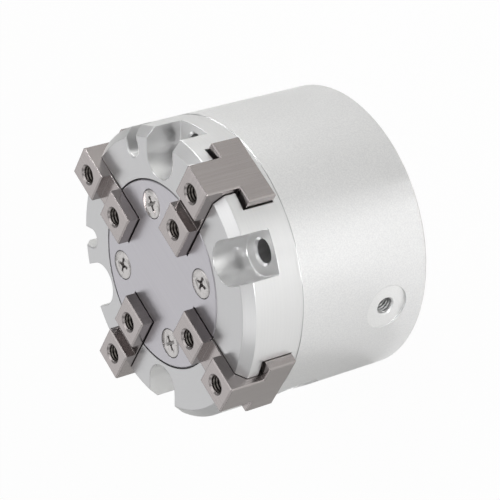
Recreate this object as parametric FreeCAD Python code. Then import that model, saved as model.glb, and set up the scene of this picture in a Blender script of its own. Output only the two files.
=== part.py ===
import FreeCAD, Part
import math
import os

# Four-jaw parallel gripper with a round body, worked by air pressure.
# Millimetres.  Origin at the centre of the rear mounting face, +Z along the axis
# towards the jaws.  The jaws lie on +X, +Y, -X and -Y and are modelled closed.

# Body; its length is the sum of what lies inside it, worked out below
BODY_RADIUS = 35.0
FRONT_CHAMFER = 2.2
REAR_CHAMFER = 0.5
FINISH_LINE_DROP = 15.3
FINISH_LINE_WIDTH = 0.8
FINISH_LINE_DEPTH = 0.15

# Bore, cap seat and ring groove at the rear
BORE_WALL = 10.0
CAP_SEAT_STEP = 1.0
CAP_SEAT_DEPTH = 9.6
CAP_THICKNESS = 6.0
CAP_CLEARANCE = 0.1
CAP_EDGE_CHAMFER = 0.5
RING_THICKNESS = 1.2
RING_GROOVE_PLAY = 0.1
RING_GROOVE_STEP = 1.1
RING_SEAT_CLEARANCE = 0.1
RING_BAND = 2.4
RING_GAP_ANGLE = 34.0
RING_LUG_RADIUS = 2.6
RING_LUG_HOLE_RADIUS = 1.1
O_RING_SECTION_RADIUS = 0.95
O_RING_PLAY = 0.2

# Air chamber, piston and its rings
PISTON_STROKE = 6.0
PISTON_THICKNESS = 10.6
PISTON_CLEARANCE = 0.2
PISTON_EDGE_CHAMFER = 1.0
CHAMBER_END_GAP = 1.0
BUMPER_PROUD = 0.8
BUMPER_THICKNESS = 1.8
BUMPER_INNER_RADIUS = 6.5
BUMPER_OUTER_RADIUS = 11.0
SEAL_OFFSET = 1.4
SEAL_WIDTH = 2.8
SEAL_GROOVE_DEPTH = 3.6
SEAL_RUNNING_CLEARANCE = 0.05
SEAL_LIP_DEPTH = 0.7
MAGNET_OFFSET = 4.9
MAGNET_WIDTH = 2.4
MAGNET_GROOVE_DEPTH = 2.8
MAGNET_INSET = 0.2
WEAR_RING_OFFSET = 8.0
WEAR_RING_WIDTH = 1.6
WEAR_RING_GROOVE_DEPTH = 1.4

# Piston rod, its seal and the wall that the rod passes through
ROD_RADIUS = 4.4
ROD_CLEARANCE = 0.05
WALL_THICKNESS = 5.2
ROD_SEAL_RADIUS = 7.0
ROD_SEAL_HEIGHT = 2.8
RETAINER_HEIGHT = 1.0
RETAINER_BORE_CLEARANCE = 0.4

# Cam, a square wedge that is wider towards the front
CAM_HEIGHT = 8.6
CAM_FLOOR_GAP = 0.2
CAM_TOP_GAP = 0.3
WEDGE_ANGLE = 45.0
WEDGE_TOP_HALF = 14.95
WEDGE_CLEARANCE = 0.08
CAM_HUB_RADIUS = 12.9
CAM_ARM_HALF = 4.4
CAM_BORE_CLEARANCE = 0.5
KEY_RELIEF_GAP = 0.5
KEY_NECK_HALF = 1.8
KEY_HEAD_HALF = 3.4
KEY_NECK_DEPTH = 1.6
KEY_HEAD_DEPTH = 1.8
BOLT_HEAD_RADIUS = 4.25
BOLT_HEAD_HEIGHT = 5.0
BOLT_HEAD_CLEARANCE = 0.25
BOLT_SHANK_RADIUS = 2.45
BOLT_SHANK_CLEARANCE = 0.3
BOLT_LENGTH = 16.0
BOLT_SINK = 0.4
BOLT_HEX_ACROSS = 4.0
BOLT_HEX_DEPTH = 2.5
BOLT_HOLE_SPARE = 1.2

# Jaws
JAW_PAD_PROUD = 3.1
JAW_OVERHANG = 1.35
JAW_PAD_INNER_END = 13.4
JAW_STEM_HALF = 4.45
JAW_FLANGE_HALF = 8.65
JAW_FLANGE_THICKNESS = 7.45
JAW_LIP_THICKNESS = 5.9
JAW_EDGE_CHAMFER = 0.3
JAW_MITRE_GAP = 0.3
JAW_SLOT_HEADROOM = 0.15
KEYWAY_WIDTH = 4.2
KEYWAY_DEPTH = 2.6
JAW_HOLE_OFFSET = 6.6
JAW_HOLE_RADIUS = 2.1
JAW_HOLE_MOUTH_RADIUS = 2.55
JAW_INNER_HOLE_DEPTH = 5.5
JAW_OUTER_HOLE_DEPTH = 8.0

# Guide slots for the jaws in the body
GUIDE_CLEARANCE = 0.05
STEM_SIDE_GAP = 0.2
MOUTH_RELIEF_LENGTH = 4.0
MOUTH_SIDE_GAP = 0.3
MOUTH_TOP_GAP = 0.8

# Front plate and its screws
PLATE_RADIUS = 22.6
PLATE_THICKNESS = 3.0
PLATE_EDGE_CHAMFER = 0.2
PLATE_SEAT_GAP = 0.3
PLATE_SLOT_SIDE_GAP = 0.3
PLATE_SLOT_END_GAP = 0.3
SCREW_CIRCLE_INSET = 5.75
SCREW_HEAD_RADIUS = 3.5
SCREW_SHANK_RADIUS = 1.5
SCREW_HOLE_CLEARANCE = 0.25
SCREW_HEAD_CLEARANCE = 0.12
SCREW_HEAD_LAND = 0.3
SCREW_LENGTH = 9.0
SCREW_HOLE_SPARE = 1.0
SCREW_RECESS_RADIUS = 1.7
SCREW_RECESS_HALF_WIDTH = 0.45
SCREW_RECESS_DEPTH = 1.5

# Open pockets for the mounting screws
POCKET_ANGLE = 57.5
POCKET_HALF_WIDTH = 5.35
POCKET_ARC_INSET = 5.8
POCKET_DEPTH = 9.5
POCKET_FLOOR_FILLET = 0.3
MOUNT_HOLE_X_INSET = 19.2
MOUNT_HOLE_Y_INSET = 9.5
MOUNT_HOLE_RADIUS = 2.8
MOUNT_MOUTH_CHAMFER = 0.6

# Sensor slots beside the -X jaw
SENSOR_ANGLE = 35.5
SENSOR_HALF_WIDTH = 2.3
SENSOR_EDGE_DISTANCE = 4.6
SENSOR_HOLE_RADIUS = 2.1
SENSOR_OPEN_DEPTH = 5.5
SENSOR_HOLE_BOTTOM_Z = 15.0
SENSOR_EDGE_CHAMFER = 0.3

# Air ports on the side
PORT_ANGLE = 22.5
PORT_HOLE_RADIUS = 2.1
PORT_HOLE_DEPTH = 6.5
PORT_FACE_RADIUS = 5.7
PORT_FACE_DEPTH = 0.6
PORT_MOUTH_CHAMFER = 0.3
PORT_DUCT_RADIUS = 1.0
REAR_PORT_OFFSET = 1.9
FRONT_PORT_OFFSET = 1.2

# Worked-out places along the axis
CAP_FRONT_Z = CAP_SEAT_DEPTH
CAP_REAR_Z = CAP_FRONT_Z - CAP_THICKNESS
RING_REAR_Z = CAP_REAR_Z - RING_THICKNESS
GROOVE_REAR_Z = RING_REAR_Z - RING_GROOVE_PLAY
PISTON_REAR_Z = CAP_FRONT_Z + CHAMBER_END_GAP + PISTON_STROKE
PISTON_FRONT_Z = PISTON_REAR_Z + PISTON_THICKNESS
CHAMBER_FRONT_Z = PISTON_FRONT_Z + CHAMBER_END_GAP
WALL_FRONT_Z = CHAMBER_FRONT_Z + WALL_THICKNESS
RETAINER_REAR_Z = WALL_FRONT_Z - RETAINER_HEIGHT
ROD_SEAL_REAR_Z = RETAINER_REAR_Z - ROD_SEAL_HEIGHT
CAM_REAR_Z = WALL_FRONT_Z + CAM_FLOOR_GAP + PISTON_STROKE
CAM_TOP_Z = CAM_REAR_Z + CAM_HEIGHT
PLATE_REAR_Z = CAM_TOP_Z + CAM_TOP_GAP
BODY_LENGTH = PLATE_REAR_Z + PLATE_THICKNESS
FINISH_LINE_Z = BODY_LENGTH - FINISH_LINE_DROP
JAW_TOP_Z = BODY_LENGTH + JAW_PAD_PROUD
JAW_FLANGE_TOP_Z = BODY_LENGTH - JAW_LIP_THICKNESS
JAW_FLANGE_BOTTOM_Z = JAW_FLANGE_TOP_Z - JAW_FLANGE_THICKNESS
BOLT_SEAT_Z = CAM_TOP_Z - BOLT_SINK - BOLT_HEAD_HEIGHT
BOLT_END_Z = BOLT_SEAT_Z - BOLT_LENGTH
BOLT_HOLE_END_Z = BOLT_END_Z - BOLT_HOLE_SPARE
POCKET_FLOOR_Z = BODY_LENGTH - POCKET_DEPTH
REAR_PORT_Z = CAP_FRONT_Z + REAR_PORT_OFFSET
FRONT_PORT_Z = CHAMBER_FRONT_Z - FRONT_PORT_OFFSET
KEYWAY_FLOOR_Z = JAW_TOP_Z - KEYWAY_DEPTH
SENSOR_OPEN_BOTTOM_Z = BODY_LENGTH - SENSOR_OPEN_DEPTH

# Worked-out radii and other shared sizes
BORE_RADIUS = BODY_RADIUS - BORE_WALL
CAP_SEAT_RADIUS = BORE_RADIUS + CAP_SEAT_STEP
RING_GROOVE_RADIUS = CAP_SEAT_RADIUS + RING_GROOVE_STEP
MOUNT_HOLE_X = BODY_RADIUS - MOUNT_HOLE_X_INSET
MOUNT_HOLE_Y = BODY_RADIUS - MOUNT_HOLE_Y_INSET
POCKET_ARC_CENTRE = BODY_RADIUS - POCKET_ARC_INSET
SENSOR_CENTRE_RADIUS = BODY_RADIUS - SENSOR_EDGE_DISTANCE
SCREW_CIRCLE_RADIUS = PLATE_RADIUS - SCREW_CIRCLE_INSET
JAW_OUTER_END = BODY_RADIUS + JAW_OVERHANG
KEYWAY_CENTRE = (JAW_PAD_INNER_END + JAW_OUTER_END) / 2
MOUTH_RELIEF_START = BODY_RADIUS - MOUTH_RELIEF_LENGTH
PISTON_RADIUS = BORE_RADIUS - PISTON_CLEARANCE
PLATE_SEAT_RADIUS = PLATE_RADIUS + PLATE_SEAT_GAP
CAM_BORE_RADIUS = CAM_HUB_RADIUS + CAM_BORE_CLEARANCE
CAP_RADIUS = CAP_SEAT_RADIUS - CAP_CLEARANCE
RING_OUTER_RADIUS = RING_GROOVE_RADIUS - RING_SEAT_CLEARANCE
WEDGE_SLOPE = math.tan(math.radians(WEDGE_ANGLE))
STEM_SLOT_HALF = JAW_STEM_HALF + STEM_SIDE_GAP
GUIDE_SLOT_HALF = JAW_FLANGE_HALF + GUIDE_CLEARANCE
GUIDE_FLOOR_Z = JAW_FLANGE_BOTTOM_Z - GUIDE_CLEARANCE
GUIDE_LIP_Z = JAW_FLANGE_TOP_Z + GUIDE_CLEARANCE

# How far a cutting tool stands past the surface that it cuts
OVERCUT = 1.0
CUT_REACH = BODY_RADIUS + OVERCUT

JAW_DIRECTIONS = {"x_pos": 0.0, "y_pos": 90.0, "x_neg": 180.0, "y_neg": 270.0}
SCREW_ANGLES = [45.0, 135.0, 225.0, 315.0]
SENSOR_ANGLES = [180.0 - SENSOR_ANGLE, 180.0 + SENSOR_ANGLE]
PORTS = [(PORT_ANGLE, REAR_PORT_Z), (-PORT_ANGLE, FRONT_PORT_Z)]

V = FreeCAD.Vector
AXIS_Z = V(0, 0, 1)


def turned(shape, angle):
    """Copy of a shape turned about the part's axis by an angle in degrees."""
    copy = shape.copy()
    copy.rotate(V(0, 0, 0), AXIS_Z, angle)
    return copy


def rod(radius, bottom, top, x=0.0, y=0.0):
    """Cylinder along Z between two heights."""
    return Part.makeCylinder(radius, top - bottom, V(x, y, bottom))


def ring(inner, outer, bottom, top):
    """Ring of rectangular section along Z."""
    return rod(outer, bottom, top).cut(rod(inner, bottom, top))


def block(x0, x1, y_half, z0, z1):
    """Box from x0 to x1 and z0 to z1 that is centred on Y."""
    return Part.makeBox(x1 - x0, 2 * y_half, z1 - z0, V(x0, -y_half, z0))


def turned_profile(points):
    """Solid of revolution about Z of a closed outline of (radius, height) points."""
    outline = [V(radius, 0, height) for radius, height in points]
    face = Part.Face(Part.makePolygon(outline + [outline[0]]))
    return face.revolve(V(0, 0, 0), AXIS_Z, 360)


def side_profile(points, half_width):
    """Prism centred on Y whose outline is given as (x, z) points."""
    outline = [V(x, -half_width, z) for x, z in points]
    face = Part.Face(Part.makePolygon(outline + [outline[0]]))
    return face.extrude(V(0, 2 * half_width, 0))


def fused(shapes):
    """One shape from several, with the seams taken out."""
    return shapes[0].multiFuse(shapes[1:]).removeSplitter()


def u_wire(half_width, arc_centre, height, reach=CUT_REACH):
    """Outline of a slot that is open outwards along +X with a round inner end."""
    start = V(reach, -half_width, height)
    lower = V(arc_centre, -half_width, height)
    apex = V(arc_centre - half_width, 0, height)
    upper = V(arc_centre, half_width, height)
    end = V(reach, half_width, height)
    edges = [
        Part.LineSegment(start, lower).toShape(),
        Part.Arc(lower, apex, upper).toShape(),
        Part.LineSegment(upper, end).toShape(),
        Part.LineSegment(end, start).toShape(),
    ]
    return Part.Wire(edges)


def u_cutter(half_width, arc_centre, bottom, top, floor_fillet=0.0):
    """Slot cutter along +X with a round inner end, and a rounded floor edge if asked."""
    cutter = Part.Face(u_wire(half_width, arc_centre, bottom)).extrude(V(0, 0, top - bottom))
    if floor_fillet > 0:
        floor_edges = []
        for edge in cutter.Edges:
            low = all(abs(vertex.Z - bottom) < 1e-6 for vertex in edge.Vertexes)
            inside = edge.CenterOfMass.x < CUT_REACH - OVERCUT / 2
            if low and inside:
                floor_edges.append(edge)
        cutter = cutter.makeFillet(floor_fillet, floor_edges)
    return cutter


def guide_slot_cutter():
    """Tee-shaped slot right across the body for one pair of jaws, with relieved mouths."""
    stem = block(-CUT_REACH, CUT_REACH, STEM_SLOT_HALF, GUIDE_LIP_Z - OVERCUT, BODY_LENGTH + OVERCUT)
    tee = block(-CUT_REACH, CUT_REACH, GUIDE_SLOT_HALF, GUIDE_FLOOR_Z, GUIDE_LIP_Z)
    relief_half = JAW_FLANGE_HALF + MOUTH_SIDE_GAP
    relief_top = JAW_FLANGE_TOP_Z + MOUTH_TOP_GAP
    relief = block(MOUTH_RELIEF_START, CUT_REACH, relief_half, GUIDE_FLOOR_Z, relief_top)
    return fused([stem, tee, relief, turned(relief, 180.0)])


def key_relief_cutter():
    """Room below the guide slot floor for two opposite keys of the lowered cam."""
    key_depth = (KEY_NECK_DEPTH + KEY_HEAD_DEPTH) / math.cos(math.radians(WEDGE_ANGLE))
    reach = wedge_half(GUIDE_FLOOR_Z + PISTON_STROKE) + key_depth + KEY_RELIEF_GAP
    return block(-reach, reach, KEY_HEAD_HALF + KEY_RELIEF_GAP, WALL_FRONT_Z, GUIDE_FLOOR_Z + OVERCUT)


def sensor_slot_cutter():
    """Short open slot at the front edge that runs on as a round blind hole."""
    top = BODY_LENGTH + OVERCUT
    slot = u_cutter(SENSOR_HALF_WIDTH, SENSOR_CENTRE_RADIUS, SENSOR_OPEN_BOTTOM_Z, top)
    hole = rod(SENSOR_HOLE_RADIUS, SENSOR_HOLE_BOTTOM_Z, top, SENSOR_CENTRE_RADIUS)
    narrow = u_wire(SENSOR_HALF_WIDTH, SENSOR_CENTRE_RADIUS, BODY_LENGTH - SENSOR_EDGE_CHAMFER)
    wide_half = SENSOR_HALF_WIDTH + SENSOR_EDGE_CHAMFER + OVERCUT
    wide = u_wire(wide_half, SENSOR_CENTRE_RADIUS, top)
    bevel = Part.makeLoft([narrow, wide], True, True)
    return fused([slot, hole, bevel])


def pocket_cutter():
    """Open pocket and through hole, with its bevelled mouth, for the mounting screw between +X and +Y."""
    top = BODY_LENGTH + OVERCUT
    pocket = u_cutter(POCKET_HALF_WIDTH, POCKET_ARC_CENTRE, POCKET_FLOOR_Z, top, POCKET_FLOOR_FILLET)
    hole = rod(MOUNT_HOLE_RADIUS, -OVERCUT, POCKET_FLOOR_Z + OVERCUT, MOUNT_HOLE_X, MOUNT_HOLE_Y)
    wide = MOUNT_HOLE_RADIUS + MOUNT_MOUTH_CHAMFER
    mouth_z = POCKET_FLOOR_Z - MOUNT_MOUTH_CHAMFER
    mouth = Part.makeCone(MOUNT_HOLE_RADIUS, wide, MOUNT_MOUTH_CHAMFER, V(MOUNT_HOLE_X, MOUNT_HOLE_Y, mouth_z))
    return fused([turned(pocket, POCKET_ANGLE), hole, mouth])


def port_cutter(height):
    """Flat spot face, tapping hole and narrow duct of a port that points along +X."""
    outward = V(1, 0, 0)
    face_x = BODY_RADIUS - PORT_FACE_DEPTH
    hole_end = face_x - PORT_HOLE_DEPTH
    face = Part.makeCylinder(PORT_FACE_RADIUS, CUT_REACH - face_x, V(face_x, 0, height), outward)
    hole = Part.makeCylinder(PORT_HOLE_RADIUS, CUT_REACH - hole_end, V(hole_end, 0, height), outward)
    mouth_start = face_x - PORT_MOUTH_CHAMFER
    mouth_wide = PORT_HOLE_RADIUS + PORT_MOUTH_CHAMFER
    mouth = Part.makeCone(PORT_HOLE_RADIUS, mouth_wide, PORT_MOUTH_CHAMFER, V(mouth_start, 0, height), outward)
    duct_start = BORE_RADIUS - OVERCUT
    duct_length = hole_end - duct_start + OVERCUT
    duct = Part.makeCylinder(PORT_DUCT_RADIUS, duct_length, V(duct_start, 0, height), outward)
    return fused([face, hole, mouth, duct])


def make_body():
    """Aluminium body: one turned shell with guide slots, pockets, ports and sensor slots."""
    groove_radius = BODY_RADIUS - FINISH_LINE_DEPTH
    finish_line_top = FINISH_LINE_Z + FINISH_LINE_WIDTH
    body = turned_profile([
        (BODY_RADIUS - REAR_CHAMFER, 0),
        (BODY_RADIUS, REAR_CHAMFER),
        (BODY_RADIUS, FINISH_LINE_Z),
        (groove_radius, FINISH_LINE_Z),
        (groove_radius, finish_line_top),
        (BODY_RADIUS, finish_line_top),
        (BODY_RADIUS, BODY_LENGTH - FRONT_CHAMFER),
        (BODY_RADIUS - FRONT_CHAMFER, BODY_LENGTH),
        (PLATE_SEAT_RADIUS, BODY_LENGTH),
        (PLATE_SEAT_RADIUS, PLATE_REAR_Z),
        (CAM_BORE_RADIUS, PLATE_REAR_Z),
        (CAM_BORE_RADIUS, WALL_FRONT_Z),
        (ROD_SEAL_RADIUS, WALL_FRONT_Z),
        (ROD_SEAL_RADIUS, ROD_SEAL_REAR_Z),
        (ROD_RADIUS + ROD_CLEARANCE, ROD_SEAL_REAR_Z),
        (ROD_RADIUS + ROD_CLEARANCE, CHAMBER_FRONT_Z),
        (BORE_RADIUS, CHAMBER_FRONT_Z),
        (BORE_RADIUS, CAP_FRONT_Z),
        (CAP_SEAT_RADIUS, CAP_FRONT_Z),
        (CAP_SEAT_RADIUS, CAP_REAR_Z),
        (RING_GROOVE_RADIUS, CAP_REAR_Z),
        (RING_GROOVE_RADIUS, GROOVE_REAR_Z),
        (CAP_SEAT_RADIUS, GROOVE_REAR_Z),
        (CAP_SEAT_RADIUS, 0),
    ])
    guide = guide_slot_cutter()
    relief = key_relief_cutter()
    cutters = [guide, turned(guide, 90.0), relief, turned(relief, 90.0)]
    pocket = pocket_cutter()
    pocket_pair = [pocket, pocket.mirror(V(0, 0, 0), V(1, 0, 0))]
    cutters += pocket_pair + [turned(cutter, 180.0) for cutter in pocket_pair]
    sensor = sensor_slot_cutter()
    cutters += [turned(sensor, angle) for angle in SENSOR_ANGLES]
    cutters += [turned(port_cutter(height), angle) for angle, height in PORTS]
    tapped_end = BODY_LENGTH - SCREW_LENGTH - SCREW_HOLE_SPARE
    tapped = rod(SCREW_SHANK_RADIUS, tapped_end, BODY_LENGTH, SCREW_CIRCLE_RADIUS)
    cutters += [turned(tapped, angle) for angle in SCREW_ANGLES]
    for cutter in cutters:
        body = body.cut(cutter)
    return body.removeSplitter()


def make_end_plate():
    """Steel plate that covers the cam, with four slots for the jaws and four countersinks."""
    edge = PLATE_EDGE_CHAMFER
    plate = turned_profile([
        (0, PLATE_REAR_Z),
        (PLATE_RADIUS, PLATE_REAR_Z),
        (PLATE_RADIUS, BODY_LENGTH - edge),
        (PLATE_RADIUS - edge, BODY_LENGTH),
        (0, BODY_LENGTH),
    ])
    slot_end = JAW_PAD_INNER_END - PLATE_SLOT_END_GAP
    slot_half = JAW_STEM_HALF + PLATE_SLOT_SIDE_GAP
    slot = block(slot_end, CUT_REACH, slot_half, PLATE_REAR_Z - OVERCUT, BODY_LENGTH + OVERCUT)
    for angle in JAW_DIRECTIONS.values():
        plate = plate.cut(turned(slot, angle))
    seat = screw_outline(SCREW_HEAD_CLEARANCE, SCREW_HOLE_CLEARANCE, OVERCUT)
    for angle in SCREW_ANGLES:
        plate = plate.cut(turned(seat, angle))
    return plate


def screw_outline(head_gap, shank_gap, above):
    """Countersunk screw at its place on +X, grown by the given gaps."""
    head_radius = SCREW_HEAD_RADIUS + head_gap
    shank_radius = SCREW_SHANK_RADIUS + shank_gap
    cone_top = BODY_LENGTH - SCREW_HEAD_LAND
    cone_bottom = cone_top - (head_radius - shank_radius)
    screw = turned_profile([
        (0, BODY_LENGTH - SCREW_LENGTH),
        (shank_radius, BODY_LENGTH - SCREW_LENGTH),
        (shank_radius, cone_bottom),
        (head_radius, cone_top),
        (head_radius, BODY_LENGTH + above),
        (0, BODY_LENGTH + above),
    ])
    screw.translate(V(SCREW_CIRCLE_RADIUS, 0, 0))
    return screw


def make_end_plate_screws():
    """Four countersunk screws with cross recesses."""
    recess_bottom = BODY_LENGTH - SCREW_RECESS_DEPTH
    arm_length = 2 * SCREW_RECESS_RADIUS
    arm_width = 2 * SCREW_RECESS_HALF_WIDTH
    arm_height = SCREW_RECESS_DEPTH + OVERCUT
    arm_start = V(SCREW_CIRCLE_RADIUS - SCREW_RECESS_RADIUS, -SCREW_RECESS_HALF_WIDTH, recess_bottom)
    arm = Part.makeBox(arm_length, arm_width, arm_height, arm_start)
    cross_start = V(SCREW_CIRCLE_RADIUS - SCREW_RECESS_HALF_WIDTH, -SCREW_RECESS_RADIUS, recess_bottom)
    cross = Part.makeBox(arm_width, arm_length, arm_height, cross_start)
    screw = screw_outline(0, 0, 0).cut(arm).cut(cross)
    return Part.makeCompound([turned(screw, angle) for angle in SCREW_ANGLES])


def wedge_half(height, clearance=0.0):
    """Half width of the square wedge at a height, less a clearance across its face."""
    drop = (CAM_TOP_Z - height) * WEDGE_SLOPE
    return WEDGE_TOP_HALF - drop - clearance / math.cos(math.radians(WEDGE_ANGLE))


def sloped_tee(low_z, high_z, gap):
    """Tee-shaped bar on the wedge face that points at +X, grown by a gap and cut off at two heights."""
    lean = math.radians(WEDGE_ANGLE)
    top = V(wedge_half(CAM_TOP_Z, WEDGE_CLEARANCE), 0, CAM_TOP_Z)
    along = V(-math.sin(lean), 0, -math.cos(lean))
    outward = V(math.cos(lean), 0, -math.sin(lean))
    spare = KEY_NECK_DEPTH + KEY_HEAD_DEPTH + OVERCUT
    length = (high_z - low_z) / math.cos(lean) + 2 * spare
    start = top - along * spare

    def bar(half_width, near, far):
        corners = [
            start + outward * near,
            start + outward * far,
            start + outward * far + along * length,
            start + outward * near + along * length,
        ]
        return side_profile([(corner.x, corner.z) for corner in corners], half_width)

    head_end = KEY_NECK_DEPTH + KEY_HEAD_DEPTH + gap
    neck = bar(KEY_NECK_HALF + gap, -OVERCUT, KEY_NECK_DEPTH)
    head = bar(KEY_HEAD_HALF + gap, KEY_NECK_DEPTH - gap, head_end)
    keep = block(-OVERCUT, CUT_REACH, KEY_HEAD_HALF + OVERCUT, low_z, high_z)
    return neck.fuse(head).common(keep)


def make_jaw():
    """Steel jaw on +X: tee-shaped slide with two tapped pads and an inclined slot."""
    tee = [
        (-JAW_FLANGE_HALF, JAW_FLANGE_BOTTOM_Z),
        (JAW_FLANGE_HALF, JAW_FLANGE_BOTTOM_Z),
        (JAW_FLANGE_HALF, JAW_FLANGE_TOP_Z),
        (JAW_STEM_HALF, JAW_FLANGE_TOP_Z),
        (JAW_STEM_HALF, JAW_TOP_Z),
        (-JAW_STEM_HALF, JAW_TOP_Z),
        (-JAW_STEM_HALF, JAW_FLANGE_TOP_Z),
        (-JAW_FLANGE_HALF, JAW_FLANGE_TOP_Z),
    ]
    outline = [V(JAW_PAD_INNER_END, y, z) for y, z in tee]
    face = Part.Face(Part.makePolygon(outline + [outline[0]]))
    jaw = face.extrude(V(JAW_OUTER_END - JAW_PAD_INNER_END, 0, 0))
    keyway_start = KEYWAY_CENTRE - KEYWAY_WIDTH / 2
    keyway_end = KEYWAY_CENTRE + KEYWAY_WIDTH / 2
    jaw = jaw.cut(block(keyway_start, keyway_end, JAW_FLANGE_HALF, KEYWAY_FLOOR_Z, JAW_TOP_Z + OVERCUT))
    jaw = jaw.makeChamfer(JAW_EDGE_CHAMFER, outer_edges(jaw))
    inner = block(0, JAW_PAD_INNER_END + OVERCUT, JAW_FLANGE_HALF, JAW_FLANGE_BOTTOM_Z, JAW_FLANGE_TOP_Z)
    jaw = fused([jaw, inner])
    below = JAW_FLANGE_BOTTOM_Z - OVERCUT
    slot_top = CAM_TOP_Z + JAW_SLOT_HEADROOM
    jaw = jaw.cut(side_profile([
        (-OVERCUT, below),
        (wedge_half(below), below),
        (wedge_half(slot_top), slot_top),
        (-OVERCUT, slot_top),
    ], JAW_FLANGE_HALF + OVERCUT))
    jaw = jaw.common(mitre_prism())
    jaw = jaw.cut(sloped_tee(below, slot_top, WEDGE_CLEARANCE))
    holes = [(KEYWAY_CENTRE - JAW_HOLE_OFFSET, JAW_INNER_HOLE_DEPTH)]
    holes.append((KEYWAY_CENTRE + JAW_HOLE_OFFSET, JAW_OUTER_HOLE_DEPTH))
    mouth_depth = JAW_HOLE_MOUTH_RADIUS - JAW_HOLE_RADIUS
    for place, depth in holes:
        jaw = jaw.cut(rod(JAW_HOLE_RADIUS, JAW_TOP_Z - depth, JAW_TOP_Z, place))
        mouth = Part.makeCone(JAW_HOLE_RADIUS, JAW_HOLE_MOUTH_RADIUS, mouth_depth,
                              V(place, 0, JAW_TOP_Z - mouth_depth))
        jaw = jaw.cut(mouth)
    return jaw.removeSplitter()


def outer_edges(jaw):
    """Straight edges on the jaw's top faces and on its outer end."""
    chosen = []
    for edge in jaw.Edges:
        on_top = all(abs(vertex.Z - JAW_TOP_Z) < 1e-6 for vertex in edge.Vertexes)
        on_end = all(abs(vertex.X - JAW_OUTER_END) < 1e-6 for vertex in edge.Vertexes)
        if on_top or on_end:
            chosen.append(edge)
    return chosen


def mitre_prism():
    """Quarter of the plan that belongs to the +X jaw, less half the gap to its neighbours."""
    outline = [
        V(JAW_MITRE_GAP, 0, 0),
        V(JAW_MITRE_GAP + CUT_REACH + OVERCUT, CUT_REACH + OVERCUT, 0),
        V(JAW_MITRE_GAP + CUT_REACH + OVERCUT, -CUT_REACH - OVERCUT, 0),
    ]
    face = Part.Face(Part.makePolygon(outline + [outline[0]]))
    return face.extrude(V(0, 0, JAW_TOP_Z + OVERCUT))


def make_cam():
    """Steel wedge with an inclined tee key on each of its four faces."""
    section = [
        (-wedge_half(CAM_REAR_Z, WEDGE_CLEARANCE), CAM_REAR_Z),
        (wedge_half(CAM_REAR_Z, WEDGE_CLEARANCE), CAM_REAR_Z),
        (wedge_half(CAM_TOP_Z, WEDGE_CLEARANCE), CAM_TOP_Z),
        (-wedge_half(CAM_TOP_Z, WEDGE_CLEARANCE), CAM_TOP_Z),
    ]
    ridge = side_profile(section, WEDGE_TOP_HALF)
    wedge = ridge.common(turned(ridge, 90.0))
    arm = block(-WEDGE_TOP_HALF, WEDGE_TOP_HALF, CAM_ARM_HALF, CAM_REAR_Z, CAM_TOP_Z)
    envelope = fused([rod(CAM_HUB_RADIUS, CAM_REAR_Z, CAM_TOP_Z), arm, turned(arm, 90.0)])
    cam = wedge.common(envelope)
    key = sloped_tee(CAM_REAR_Z, CAM_TOP_Z, 0.0)
    cam = fused([cam] + [turned(key, angle) for angle in JAW_DIRECTIONS.values()])
    cam = cam.cut(rod(BOLT_HEAD_RADIUS + BOLT_HEAD_CLEARANCE, BOLT_SEAT_Z, CAM_TOP_Z))
    cam = cam.cut(rod(BOLT_SHANK_RADIUS + BOLT_SHANK_CLEARANCE, CAM_REAR_Z, BOLT_SEAT_Z))
    return cam.removeSplitter()


def make_cam_bolt():
    """Socket head bolt that clamps the cam to the piston rod."""
    head_top = BOLT_SEAT_Z + BOLT_HEAD_HEIGHT
    bolt = fused([
        rod(BOLT_HEAD_RADIUS, BOLT_SEAT_Z, head_top),
        rod(BOLT_SHANK_RADIUS, BOLT_END_Z, BOLT_SEAT_Z),
    ])
    corner = BOLT_HEX_ACROSS / math.sqrt(3)
    points = []
    for side in range(7):
        angle = math.radians(60 * side)
        points.append(V(corner * math.cos(angle), corner * math.sin(angle), head_top - BOLT_HEX_DEPTH))
    socket = Part.Face(Part.makePolygon(points)).extrude(V(0, 0, BOLT_HEX_DEPTH + OVERCUT))
    return bolt.cut(socket)


def make_piston():
    """Aluminium piston with its rod, the tapped hole for the bolt and its ring grooves."""
    edge = PISTON_EDGE_CHAMFER
    piston = turned_profile([
        (0, PISTON_REAR_Z),
        (PISTON_RADIUS - edge, PISTON_REAR_Z),
        (PISTON_RADIUS, PISTON_REAR_Z + edge),
        (PISTON_RADIUS, PISTON_FRONT_Z - edge),
        (PISTON_RADIUS - edge, PISTON_FRONT_Z),
        (ROD_RADIUS, PISTON_FRONT_Z),
        (ROD_RADIUS, CAM_REAR_Z),
        (0, CAM_REAR_Z),
    ])
    grooves = [
        (SEAL_OFFSET, SEAL_WIDTH, SEAL_GROOVE_DEPTH),
        (MAGNET_OFFSET, MAGNET_WIDTH, MAGNET_GROOVE_DEPTH),
        (WEAR_RING_OFFSET, WEAR_RING_WIDTH, WEAR_RING_GROOVE_DEPTH),
    ]
    for offset, width, depth in grooves:
        bottom = PISTON_REAR_Z + offset
        floor_radius = PISTON_RADIUS - depth
        piston = piston.cut(ring(floor_radius, BORE_RADIUS, bottom, bottom + width))
    piston = piston.cut(rod(BOLT_SHANK_RADIUS, BOLT_HOLE_END_Z, CAM_REAR_Z))
    sunk = BUMPER_THICKNESS - BUMPER_PROUD
    piston = piston.cut(ring(BUMPER_INNER_RADIUS, BUMPER_OUTER_RADIUS, PISTON_FRONT_Z - sunk, PISTON_FRONT_Z))
    piston = piston.cut(ring(BUMPER_INNER_RADIUS, BUMPER_OUTER_RADIUS, PISTON_REAR_Z, PISTON_REAR_Z + sunk))
    return piston


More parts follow.
